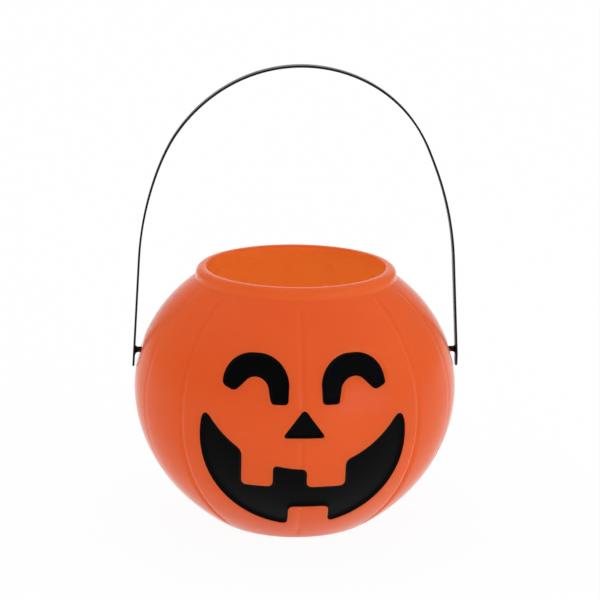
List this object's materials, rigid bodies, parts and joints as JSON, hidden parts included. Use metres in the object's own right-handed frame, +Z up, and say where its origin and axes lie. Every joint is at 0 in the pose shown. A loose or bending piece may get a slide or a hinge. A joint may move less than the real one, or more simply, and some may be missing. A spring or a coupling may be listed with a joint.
{
  "type": "pumpkin candy pail",
  "caption": "Round grooved pail with a sunk, painted jack-o'-lantern face, an open collar and a thin strap handle that swings on snap pegs.",
  "frame": {"origin": "centre of the foot ring, on the surface that the pail stands on", "axes": "+Z up out of the mouth, -Y towards the face, X along the line through the strap's pegs"},
  "size_m": [0.1626, 0.1599, 0.2267],
  "materials": {
    "shell": "satin blow-moulded polyethylene",
    "face_paint": "satin black paint",
    "strap": "smooth black polypropylene"
  },
  "bodies": {
    "pail": {"pail_shell": "shell", "left_eye_paint": "face_paint", "right_eye_paint": "face_paint", "nose_paint": "face_paint", "mouth_paint": "face_paint"},
    "handle": {"strap_handle": "strap"}
  },
  "joints": [
    {"name": "handle_swing", "type": "hinge", "parent": "pail", "child": "handle", "pos_m": [0, 0, 0.0847], "axis": [1, 0, 0], "range_deg": [-115, 115]}
  ]
}
